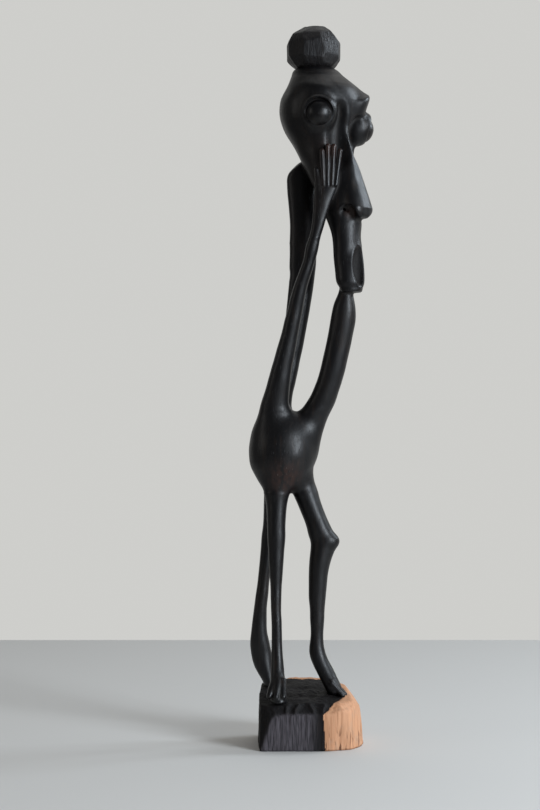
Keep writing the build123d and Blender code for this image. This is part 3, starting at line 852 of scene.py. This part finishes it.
# %% Splitting the skin
step = int(round(RIDGE_STEP / VOXEL))
last_spots = np.array(body.shape) - step - 1
spots = np.clip(np.round((skin - BENCH_LOW) / VOXEL).astype(int), step, last_spots)
ridge = -6 * body[tuple(spots.T)]
for way in np.eye(3, dtype=int) * step:
    ridge = ridge + body[tuple((spots + way).T)] + body[tuple((spots - way).T)]
ridge = np.clip(ridge / (step * VOXEL), -1, 1).astype(np.float32)

for name in sorted(set(owner)):
    chosen = quads[owner == name]
    used, faces = np.unique(chosen, return_inverse=True)
    cut_skin = turn_in(skin[used], faces.reshape(chosen.shape), skin_normals[used])
    places, faces, normals, rim = cut_skin
    marks = {"ridge": np.append(ridge[used], ridge[used][rim])}
    mesh_piece(name + "_carving", places, faces.tolist(), [name], normals, marks)
del body

# %% [markdown]
# ## Knife-cut solids
# The block and the topknot were never smoothed: flat knife and axe cuts meet at edges. Such a
# solid is a function of direction: from a point inside, the distance to the surface is the
# smallest of the distances to all the planes of the cuts. Edges that wear makes blunt come from a
# smooth minimum: the distances raised to a large negative power, summed, and the root taken.

# %% Star surfaces
BLUNT = 90.0  # the power: larger is sharper
TABLE_SIZE, FAR_CORNER = 64, 1000  # a table of random numbers, read from far outside its start


def star_directions(rings, spokes):
    """Directions over a sphere on a grid of two angles, with one point at each pole, and the
    faces between them, turned outwards."""
    tilt = np.linspace(-np.pi / 2, np.pi / 2, rings + 2)[1:-1]
    turn = np.linspace(0, 2 * np.pi, spokes, endpoint=False)
    tilt, turn = (grid.ravel() for grid in np.meshgrid(tilt, turn, indexing="ij"))
    around = np.stack([np.cos(tilt) * np.cos(turn), np.cos(tilt) * np.sin(turn), np.sin(tilt)], axis=1)
    directions = np.vstack([around, [(0, 0, -1), (0, 0, 1)]])
    here = np.arange(rings * spokes).reshape(rings, spokes)
    ahead = np.roll(here, -1, axis=1)
    sides = np.stack([here[:-1], ahead[:-1], ahead[1:], here[1:]], axis=-1).reshape(-1, 4)
    south = [(rings * spokes, b, a) for a, b in zip(here[0].tolist(), ahead[0].tolist())]
    north = [(rings * spokes + 1, a, b) for a, b in zip(here[-1].tolist(), ahead[-1].tolist())]
    return directions, sides, south + north


def plane_distances(directions, centre, points, normals):
    """How far each plane is along each direction, from the centre. A plane behind is far away."""
    normals = normals / np.linalg.norm(normals, axis=1, keepdims=True)
    height = ((points - centre) * normals).sum(axis=1)
    facing = directions @ normals.T
    return height / np.maximum(facing, 1e-3)


def blunt_smallest(distances):
    """The smooth minimum along each direction, and how much each plane has to do with it."""
    nearness = (distances / distances.min(axis=1, keepdims=True)) ** -BLUNT
    total = nearness.sum(axis=1, keepdims=True)
    return distances.min(axis=1) * total[:, 0] ** (-1 / BLUNT), nearness / total


def random_heights(places, steps, seed):
    """Smooth random heights from -1 to 1. A lattice of random numbers stands steps apart, and is
    read between its points with an S-shaped weight."""
    table = np.random.default_rng(seed).uniform(-1, 1, (TABLE_SIZE,) * 3)
    spot = places / np.array(steps, float) + FAR_CORNER
    base = np.floor(spot).astype(int)
    t = spot - base
    t, height = t * t * (3 - 2 * t), 0
    for corner in np.ndindex(2, 2, 2):
        share = np.prod(np.where(np.array(corner) == 1, t, 1 - t), axis=1)
        height = height + share * table[tuple(((base + np.array(corner)) % TABLE_SIZE).T)]
    return height


# %% [markdown]
# ## The block
# An axe left the block with a broad fibrous face, a gouged bevel above it, a sloping top and one
# corner cut away. Heartwood and sapwood meet along a growth ring. The ring is a second set of
# planes: heartwood ends at whichever is nearer, and sapwood fills what is left out to the block.

# %% Cuts of the block
base_low, base_high = (
    pick([list(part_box(name)[end]) for name in ("base_heartwood", "base_sapwood")], axis=0) / MM
    for end, pick in ((0, np.min), (1, np.max))
)
HALF_W, HALF_D = (base_high[0] - base_low[0]) / 2, (base_high[1] - base_low[1]) / 2
BLOCK_TOP = base_high[2]
OUTLINE = np.array(
    [
        (-0.95, -1.0), (0.26, -0.98), (0.74, -0.82), (0.93, -0.5), (1.0, -0.14), (0.99, 0.2),
        (0.9, 0.5), (0.5, 0.92), (0.05, 0.97), (-0.4, 1.0), (-0.97, 0.72), (-1.0, 0.0),
    ]
)  # fmt: skip
RING = np.array(
    [(0.22, -1.0), (0.5, -0.7), (0.64, -0.38), (0.68, -0.1), (0.68, 0.15), (0.62, 0.42), (0.45, 0.7),
     (0.2, 0.86), (-0.4, 0.9), (-1.5, 0.95)]
)  # fmt: skip
LEANS = (0.02, -0.03, 0.05, 0.08, 0.1, 0.1, 0.08, 0.02, 0.0, 0.03, 0.04, 0.02)


def outline_planes(corners, leans):
    """One upright plane for each edge of a level outline, leaning in by its share."""
    corners = corners * (HALF_W, HALF_D)
    along = np.roll(corners, -1, axis=0) - corners
    along = along / np.linalg.norm(along, axis=1, keepdims=True)
    points = np.column_stack([corners, np.zeros(len(corners))])
    return points, np.column_stack([along[:, 1], -along[:, 0], leans])


side_points, side_normals = outline_planes(OUTLINE, LEANS)
ring_points, ring_normals = (rows[:-1] for rows in outline_planes(RING, [0.03] * len(RING)))
extra_cuts = [
    # a point on the cut, the way the cut faces
    ((0, 0, 0), (0, 0, -1)),
    ((0, HALF_D, BLOCK_TOP), (0.0, -0.15, 1.0)),
    ((-0.3 * HALF_W, 0, BLOCK_TOP - 3.4), (-0.1, -0.2, 1.0)),
    ((0.3 * HALF_W, 0, BLOCK_TOP - 3.8), (0.10, -0.13, 1.0)),
    ((0.86 * HALF_W, 0, BLOCK_TOP - 10), (0.77, 0.0, 0.64)),
    ((0.98 * HALF_W, 0, BLOCK_TOP - 16), (0.93, -0.12, 0.36)),
    ((0.62 * HALF_W, -0.75 * HALF_D, BLOCK_TOP - 9), (0.5, -0.55, 0.72)),
    ((0, -HALF_D, BLOCK_TOP - 13.5), (0.0, -0.72, 0.7)),
    ((-0.7 * HALF_W, -0.94 * HALF_D, BLOCK_TOP - 12.5), (-0.2, -0.8, 0.66)),
    ((-0.95 * HALF_W, -HALF_D, 0), (-1.0, -0.96, 0.36)),
    ((-0.98 * HALF_W, 0, BLOCK_TOP - 5), (-0.85, 0.0, 0.6)),
    ((-0.6 * HALF_W, 0.9 * HALF_D, BLOCK_TOP - 3), (-0.35, 0.6, 0.75)),
]
TOP_CUTS, BEVEL_CUTS, CORNER_CUT = (1, 2, 3, 10, 11), (7, 8), 9  # their rows in that list
extra_points, extra_normals = (np.array(column, float) for column in zip(*extra_cuts))
block_planes = np.vstack([side_points, extra_points]), np.vstack([side_normals, extra_normals])

# %% Block surfaces
BLOCK_CENTRE = np.array([0.0, 0.0, 15.0])
GRID = ((180, 400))
directions, grid_quads, grid_tris = star_directions(*GRID)
block_reach, cut_share = blunt_smallest(plane_distances(directions, BLOCK_CENTRE, *block_planes))
ring_reach, _ = blunt_smallest(plane_distances(directions, BLOCK_CENTRE, ring_points, ring_normals))
places = BLOCK_CENTRE + directions * block_reach[:, None]
first = len(side_points)
on_sides = cut_share[:, :first].sum(axis=1) + cut_share[:, first + CORNER_CUT]
on_top = cut_share[:, [first + k for k in TOP_CUTS]].sum(axis=1)
on_bevel = cut_share[:, [first + k for k in BEVEL_CUTS]].sum(axis=1)
GOUGE_WIDTH, GOUGE_DEPTH, GOUGE_BACK, GOUGE_WANDER = 8.0, 1.5, 0.9, 4.5
flute = places[:, 0] + GOUGE_WANDER * random_heights(places, (9, 9, 6), 5)
flute = np.mod(flute, GOUGE_WIDTH) / GOUGE_WIDTH
relief = on_bevel * GOUGE_DEPTH * (4 * (flute - 0.5) ** 2 - GOUGE_BACK)
ROUGHNESS = [
    # where, how high, the steps of its lattice, seed
    (on_sides, 0.30, (1.3, 1.3, 12.0), 6),
    (on_sides, 0.28, (5.0, 5.0, 9.0), 7),
    (on_top, 0.9, (5.0, 5.0, 6.0), 8),
    (on_top + 0.6 * on_bevel, 0.35, (1.6, 1.6, 2.0), 9),
]
for where, height, steps, seed in ROUGHNESS:
    relief += where * height * random_heights(places, steps, seed)
FLAT_FOOT, RING_WANDER = 0.5, 0.5  # the block stays smooth this far up, so that it stands
block_reach = block_reach + relief * (places[:, 2] > FLAT_FOOT)
ring_reach = ring_reach + RING_WANDER * random_heights(places, (4.0, 4.0, 16.0), 10)
print("relief on the block up to", round(float(np.abs(relief).max()), 2), "mm")

heart = BLOCK_CENTRE + directions * np.minimum(block_reach, ring_reach)[:, None]
heart[:, 2] = np.maximum(heart[:, 2], 0)
block_faces = grid_quads.tolist() + grid_tris
marks = {"torn": cut_share[:, 0]}
mesh_piece("block_heartwood", heart, block_faces, ["base_heartwood"], marks=marks)

# %% The sapwood round it
is_sap = block_reach > ring_reach
sap_quads, sap_tris = (grid[is_sap[grid].any(axis=1)] for grid in (grid_quads, np.array(grid_tris)))
outer = BLOCK_CENTRE + directions * block_reach[:, None]
outer[:, 2] = np.maximum(outer[:, 2], 0)
inside = np.arange(len(directions))
inside[is_sap] = len(directions) + np.arange(is_sap.sum())
shell_points = np.vstack([outer, heart[is_sap]])
shell_faces = [*sap_quads.tolist(), *sap_tris.tolist()]
shell_faces += [*inside[sap_quads][:, ::-1].tolist(), *inside[sap_tris][:, ::-1].tolist()]
used = np.unique(np.concatenate([np.array(face) for face in shell_faces]))
renumber = {int(old): new for new, old in enumerate(used)}
shell_faces = [[renumber[corner] for corner in face] for face in shell_faces]
mesh_piece("block_sapwood", shell_points[used], shell_faces, ["base_sapwood"])

# %% [markdown]
# ## The topknot
# The knob of hair was shaped with short strokes of a flat knife, most of them upright. Its planes
# touch an egg from all round: each stands off by the egg's reach in that direction, times a
# little chance.

# %% Topknot
knot_low, knot_high = (np.array(corner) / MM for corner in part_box("topknot"))
KNOT_LOWER, KNOT_SINKS = (0, 0, 0.8), 2.0  # it reaches a little further down, into the head
KNOT_CENTRE = (knot_low + knot_high) / 2 - KNOT_LOWER
KNOT_HALF = (knot_high - knot_low) / 2 + KNOT_LOWER
KNOT_STROKES = [
    # degrees of tilt, number of strokes, how far they stand off
    (82, 2, 1.04),
    (56, 9, 1.05),
    (30, 9, 1.03),
    (3, 9, 0.99),
    (-29, 9, 1.03),
    (-57, 9, 1.0),
    (-88, 1, 0.96),
]
KNOT_FACING, STROKE_STRAYS = -92.0, 7  # where each band starts, and how far a stroke turns off
DEEPEST_STROKE = 0.95  # the share of the egg's reach at which the deepest stroke stands
KNOT_GRAIN, KNOT_GRAIN_STEPS, KNOT_SEED = 0.12, (1.6, 1.6, 5.0), 33
KNOT_GRID = ((150, 300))
stroke_chance = np.random.default_rng(31)
stroke_normals, stroke_heights = [], []
for tilt, count, height in KNOT_STROKES:
    strays = stroke_chance.uniform(-STROKE_STRAYS, STROKE_STRAYS, count)
    turns = np.radians(np.arange(count) * 360 / count + strays + KNOT_FACING)
    tilts = np.radians(tilt + stroke_chance.uniform(-STROKE_STRAYS, STROKE_STRAYS, count))
    level = np.cos(tilts)
    normals = np.stack([level * np.cos(turns), level * np.sin(turns), np.sin(tilts)], axis=1)
    stroke_normals.append(normals)
    reach = np.sqrt(((normals * KNOT_HALF) ** 2).sum(axis=1))
    stroke_heights.append(reach * height * stroke_chance.uniform(DEEPEST_STROKE, 1.0, count))
stroke_normals, stroke_heights = np.vstack(stroke_normals), np.concatenate(stroke_heights)
stroke_points = KNOT_CENTRE + stroke_normals * stroke_heights[:, None]

# %% The knob's surface
knot_directions, knot_quads, knot_tris = star_directions(*KNOT_GRID)
strokes = plane_distances(knot_directions, KNOT_CENTRE, stroke_points, stroke_normals)
knot_reach, _ = blunt_smallest(strokes)
knot_places = KNOT_CENTRE + knot_directions * knot_reach[:, None]
knot_reach = knot_reach + KNOT_GRAIN * random_heights(knot_places, KNOT_GRAIN_STEPS, KNOT_SEED)
knot_places = KNOT_CENTRE + knot_directions * knot_reach[:, None]
knot_places[:, 2] = np.maximum(knot_places[:, 2], crown_z - KNOT_SINKS)
knot_faces = knot_quads.tolist() + knot_tris
mesh_piece("topknot_carving", knot_places, knot_faces, ["topknot"])

# %% [markdown]
# ## The eyeballs
# Each eye is a ball left standing between its lids, rounded by eye and so not quite true: its
# radius swells and sinks a little with direction.

# %% Eyeballs
EYE_SWELL, EYE_STEPS, EYE_SEED = 0.012, (5.0, 5.0, 5.0), 40
eye_directions, eye_quads, eye_tris = star_directions(60, 120)
for name, side in (("right_eye", -1), ("left_eye", 1)):
    heights = random_heights(eye_directions * EYE_RADIUS, EYE_STEPS, EYE_SEED + side)
    bulge = 1 + EYE_SWELL * heights
    places = EYES[side] + eye_directions * (EYE_RADIUS * bulge)[:, None]
    mesh_piece(name + "_ball", places, eye_quads.tolist() + eye_tris, [name])

# %% [markdown]
# ## Writing finishes
# A finish is built from nodes. Two small classes keep it readable: a Signal is one number that
# varies over the surface and can be added, subtracted and multiplied like any other, and a Finish
# makes the nodes. What varies feeds the colour, the roughness and the bump only. Patterns read
# Object coordinates, so they run on through the seams between the pieces, as grain does.

# %% Signals and finishes
class Signal:
    """A socket that carries a number. An expression on signals adds Math nodes."""

    def __init__(self, finish, socket):
        self.finish, self.socket = finish, socket

    def math(self, operation, a, b):
        return self.finish.node("ShaderNodeMath", {"operation": operation}, {0: a, 1: b})

    def __add__(self, other):
        return self.math("ADD", self, other)

    def __sub__(self, other):
        return self.math("SUBTRACT", self, other)

    def __rsub__(self, other):
        return self.math("SUBTRACT", other, self)

    def __mul__(self, other):
        return self.math("MULTIPLY", self, other)

    __radd__, __rmul__ = __add__, __mul__

    def rises(self, low, high):
        """0 up to low, 1 from high, and a smooth S between; high may be the smaller one."""
        settings = {"interpolation_type": "SMOOTHSTEP", "clamp": True}
        if high < low:
            return 1 - self.rises(high, low)
        return self.finish.node(
            "ShaderNodeMapRange", settings, {"Value": self, "From Min": low, "From Max": high}
        )


class Finish:
    """A material with a Principled shader, and the nodes that feed it."""

    def __init__(self, name, specular):
        self.material = bpy.data.materials.new(name)
        self.material.use_nodes = True
        self.tree = self.material.node_tree
        self.shader = self.tree.nodes["Principled BSDF"]
        self.shader.inputs["Specular IOR Level"].default_value = specular
        self.place = self.node("ShaderNodeTexCoord", output="Object")
        self.x, self.y, self.z = (
            self.node("ShaderNodeSeparateXYZ", {}, {0: self.place}, output=axis) for axis in "XYZ"
        )

    def connect(self, socket, value):
        """Links a signal to a socket, or sets a plain value on it."""
        if isinstance(value, Signal):
            self.tree.links.new(value.socket, socket)
        else:
            socket.default_value = value

    def node(self, kind, settings={}, inputs={}, output=0):
        """One node: its settings first, then its sockets. Returns the chosen output."""
        made = self.tree.nodes.new(kind)
        for setting, value in settings.items():
            setattr(made, setting, value)
        for key, value in inputs.items():
            self.connect(made.inputs[key], value)
        return Signal(self, made.outputs[output])

    def noise(self, across, along, detail=2.0, seed=0.0):
        """Smooth chance from 0 to 1, in patches so many millimetres across and along the grain."""
        inputs = {"Vector": self.place, "Scale": (1, 1, across / along), "Location": (seed,) * 3}
        grain = self.node("ShaderNodeMapping", {}, inputs)
        inputs = {"Vector": grain, "Scale": 1 / (across * MM), "Detail": detail}
        return self.node("ShaderNodeTexNoise", {}, inputs)

    def near(self, point, radius):
        """1 at a point given in millimetres, falling to 0 at a radius."""
        settings = {"operation": "DISTANCE"}
        inputs = {0: self.place, 1: tuple(c * MM for c in point)}
        return self.node("ShaderNodeVectorMath", settings, inputs, "Value").rises(radius * MM, 0)

    def mix(self, share, first, second):
        """The first colour where share is 0 and the second where it is 1."""
        inputs = {0: share}
        for key, colour in ((FIRST_COLOUR, first), (SECOND_COLOUR, second)):
            inputs[key] = colour if isinstance(colour, Signal) else (*colour, 1)
        return self.node("ShaderNodeMix", {"data_type": "RGBA"}, inputs, MIXED_COLOUR)

    def bump(self, height, depth, under=None):
        """A bump that rises so many millimetres where height is 1."""
        inputs = {"Height": height, "Distance": depth * MM, "Strength": 1.0}
        if under:
            inputs["Normal"] = under
        return self.node("ShaderNodeBump", {}, inputs)

    def done(self, **sockets):
        """Feeds the shader's sockets and returns the material."""
        for name, value in sockets.items():
            self.connect(self.shader.inputs[name.replace("_", " ")], value)
        return self.material


# %% [markdown]
# ## Polished blackwood
# Nearly black, with faint brown streaks along the grain and short open pores. Handling polishes
# the ridges and leaves the hollows duller and dusty, so roughness follows the ridge number. A
# reddish patch with pale flecks shows at the bottom of the belly, and the fingers and the nostrils
# are browner. Inside the mouth the wood is dull.

# %% Polished ebony
BLACK, BROWN, REDDISH = (0.0036, 0.0034, 0.0038), (0.014, 0.0085, 0.006), (0.034, 0.0145, 0.0105)
DUST, FLECK = (0.013, 0.011, 0.0095), (0.10, 0.085, 0.072)
BELLY_STAIN, STAIN_SIZE = (-15.0, -13.0, crotch_z + 9), 15.0
FINGER_TIPS, TIPS_SIZE = (11.0, -20.0, palm_z + 13), 9.0
IN_NOSTRIL, NOSTRIL_SIZE, MOUTH_SIZE = (5.0, 22.5, 2.6), 5.0, 11.0
SATIN, DULL_MOUTH = 0.33, 0.42  # the polish's roughness, and what the mouth adds to it


def polished_ebony(name, has_ridges, gloss=0.0):
    """The dark satin finish. gloss makes a piece smoother than the rest."""
    wood = Finish(name, specular=0.3)
    streaks = wood.noise(2.4, 60.0, 3.0).rises(0.52, 0.78)
    clouds = wood.noise(14.0, 26.0, 2.0, seed=3.0)
    pores = wood.noise(0.35, 3.5, 1.0, seed=5.0).rises(0.66, 0.78)
    scuffs = wood.noise(1.1, 1.6, 4.0, seed=7.0)
    colour = wood.mix(streaks * 0.75, BLACK, BROWN)
    colour = wood.mix(clouds.rises(0.5, 0.8) * 0.35, colour, BROWN)
    stain = wood.near(BELLY_STAIN, STAIN_SIZE) * wood.noise(3.0, 8.0, 3.0, seed=9.0).rises(0.3, 0.62)
    colour = wood.mix(stain * 0.85, colour, REDDISH)
    flecks = wood.noise(0.8, 2.6, 1.0, seed=11.0).rises(0.70, 0.76)
    flecks = wood.near(BELLY_STAIN, STAIN_SIZE) * flecks
    colour = wood.mix(flecks * 0.8, colour, FLECK)
    colour = wood.mix(wood.near(FINGER_TIPS, TIPS_SIZE) * 0.8, colour, REDDISH)
    across, forward, rise = IN_NOSTRIL
    for side in EYES:
        inside = from_head(across * side, forward, nose_z + rise)
        colour = wood.mix(wood.near(inside, NOSTRIL_SIZE) * 0.9, colour, REDDISH)
    rough = wood.near(from_head(*MOUTH_MIDDLE), MOUTH_SIZE) * DULL_MOUTH + SATIN - gloss
    rough = rough + clouds * 0.14 + scuffs.rises(0.45, 0.8) * 0.10
    height = wood.noise(2.6, 9.0, 2.0, seed=13.0)
    if has_ridges:
        ridge = wood.node("ShaderNodeAttribute", {"attribute_name": "ridge"}, output="Fac")
        hollow = ridge.rises(-0.05, -0.45)
        colour = wood.mix(hollow * 0.55, colour, DUST)
        rough = rough + hollow * 0.18 - ridge.rises(0.2, 0.8) * 0.06
    rough = rough + pores * 0.2
    soft = wood.bump(height, 0.10)
    normal = wood.bump(scuffs - pores * 1.5, 0.03, soft)
    return wood.done(Base_Color=colour, Roughness=rough, Normal=normal)


# %% [markdown]
# ## Hewn wood
# Below the feet nothing was polished. The axe tore the heartwood's fibres, which scatter the light
# and look grey, and the sapwood is pale and peachy, with darker gaps where splinters came away.
# Along the sapwood's bottom edge, where the block meets the floor, a band of shade is painted.

# %% Hewn ebony and sapwood
TORN, CUT_DARK = (0.074, 0.066, 0.074), (0.0065, 0.0062, 0.0068)
SPLINTER = (0.10, 0.095, 0.09)


def hewn_ebony(name, torn_face, specular=0.14, smoother=0.0):
    """Dark wood with torn upright fibres. torn_face lightens the block's broad front."""
    wood = Finish(name, specular)
    fibres = wood.noise(0.7, 9.0, 4.0, seed=2.0)
    patches = wood.noise(5.0, 12.0, 2.0, seed=4.0)
    colour = wood.mix(fibres.rises(0.4, 0.75) * 0.5, CUT_DARK, BROWN)
    if torn_face:
        face = wood.node("ShaderNodeAttribute", {"attribute_name": "torn"}, output="Fac")
        face = face * wood.x.rises(0.006, -0.004)
        colour = wood.mix(face * (0.35 + fibres.rises(0.35, 0.65) * 0.65), colour, TORN)
        pale = fibres.rises(0.66, 0.74) * wood.noise(2.5, 3.5, 1.0, seed=6.0).rises(0.58, 0.7)
        colour = wood.mix(pale * 0.6, colour, SPLINTER)
    rough = 0.52 - smoother + patches * 0.16 + fibres * 0.14
    soft = wood.bump(patches, 0.5)
    normal = wood.bump(fibres, 0.35, soft)
    return wood.done(Base_Color=colour, Roughness=rough, Normal=normal)


# The gap brown also serves as painted shade along the sapwood's bottom edge, where it meets the floor
PEACH, TAN, GAP_AND_PAINTED_SHADE = (0.52, 0.27, 0.15), (0.36, 0.165, 0.08), (0.11, 0.042, 0.019)
GREYED = (0.40, 0.26, 0.175)


def pale_sapwood(name):
    """Peach wood with tan streaks, brown gaps low down, and painted shade along its bottom edge."""
    wood = Finish(name, specular=0.3)
    streaks = wood.noise(1.3, 22.0, 3.0, seed=1.0)
    patches = wood.noise(6.0, 9.0, 2.0, seed=3.0)
    gaps = wood.noise(1.1, 9.0, 2.0, seed=5.0)
    colour = wood.mix(streaks.rises(0.42, 0.72) * 0.7, PEACH, TAN)
    colour = wood.mix(patches.rises(0.52, 0.75) * 0.5, colour, GREYED)
    low = wood.z.rises(0.017, 0.003)
    torn = gaps.rises(0.56, 0.66) * low
    colour = wood.mix(torn * 0.9, colour, GAP_AND_PAINTED_SHADE)
    # Painted shade: the lowest 1.6 mm of the sapwood darkens halfway to the gap brown, where the block
    # meets the floor
    edge = wood.z.rises(0.0016, 0.0)
    colour = wood.mix(edge * 0.5, colour, GAP_AND_PAINTED_SHADE)
    rough = 0.62 + patches * 0.12 + torn * 0.15
    normal = wood.bump(streaks - torn * 1.2, 0.30)
    return wood.done(Base_Color=colour, Roughness=rough, Normal=normal)


# %% Giving out the finishes
polish = polished_ebony("polished_ebony", True)
plain_polish = polished_ebony("polished_ebony_eyes", False, gloss=0.06)
finishes = {
    "block_heartwood": hewn_ebony("hewn_ebony", True),
    "block_sapwood": pale_sapwood("sapwood"),
    "topknot_carving": hewn_ebony("knife_cut_ebony", False, 0.3, 0.16),
    "right_eye_ball": plain_polish,
    "left_eye_ball": plain_polish,
}
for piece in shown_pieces():
    piece.data.materials.clear()
    piece.data.materials.append(finishes.get(piece.name, polish))
for name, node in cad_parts.items():
    if not node.data.materials:
        node.data.materials.append(polish)
sheet = Finish("pale_floor", specular=0.2)
floor.data.materials.append(sheet.done(Base_Color=(*FLOOR_COLOUR, 1), Roughness=0.8))
